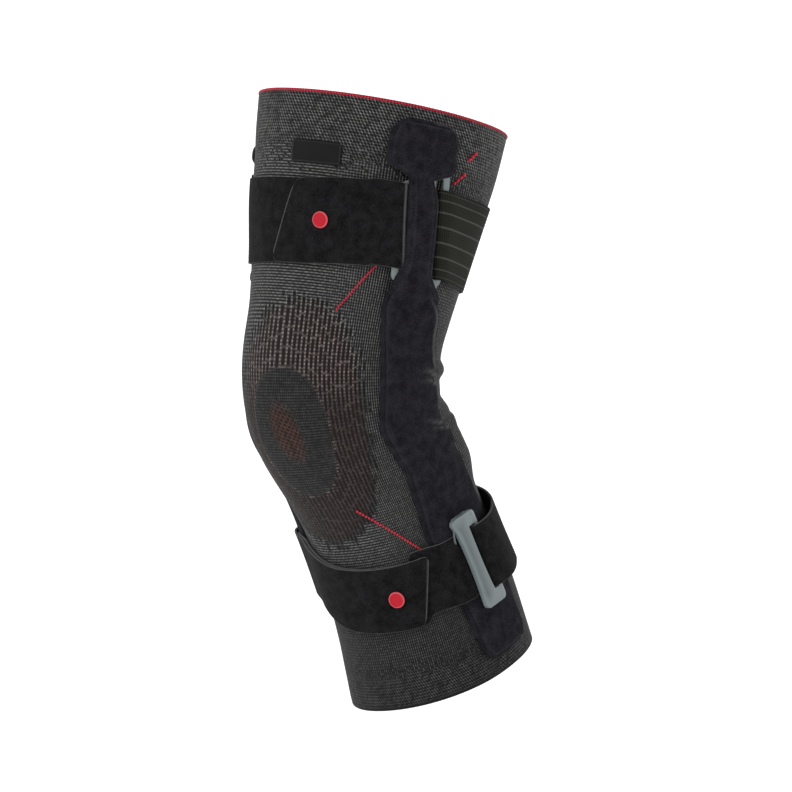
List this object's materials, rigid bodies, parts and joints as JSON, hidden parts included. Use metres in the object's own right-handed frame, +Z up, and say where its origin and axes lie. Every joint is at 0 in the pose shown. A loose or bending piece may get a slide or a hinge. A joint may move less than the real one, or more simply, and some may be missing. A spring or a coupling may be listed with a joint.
{
  "type": "hinged knee brace",
  "caption": "Long knitted knee sleeve with padded side splints, plastic strap loops, and thigh and shin straps, worn on a bent leg.",
  "frame": {"origin": "middle of the knee, on the centre line of the leg's space", "axes": "+Z up along the leg, -Y to the front, +X to the outer side of a left leg"},
  "size_m": [0.167, 0.1921, 0.3984],
  "materials": {
    "knit": "ribbed stretch knit, matt",
    "red_yarn": "knitted edge, matt",
    "label_cloth": "woven, matt",
    "velour": "brushed loop cloth, matt",
    "elastic": "ribbed woven elastic",
    "grey_plastic": "moulded, satin",
    "splint": "moulded",
    "red_plastic": "moulded, satin"
  },
  "bodies": {
    "root": {"knit_sleeve": "knit", "top_hem": "red_yarn", "label_patch": "label_cloth", "outer_pocket": "velour", "outer_splint": "splint", "upper_outer_loop": "grey_plastic", "lower_outer_loop": "grey_plastic", "inner_pocket": "velour", "inner_splint": "splint", "upper_inner_loop": "grey_plastic", "lower_inner_loop": "grey_plastic", "upper_strap": "velour", "upper_elastic": "elastic", "lower_strap": "velour", "upper_button": "red_plastic", "lower_button": "red_plastic"}
  },
  "joints": []
}
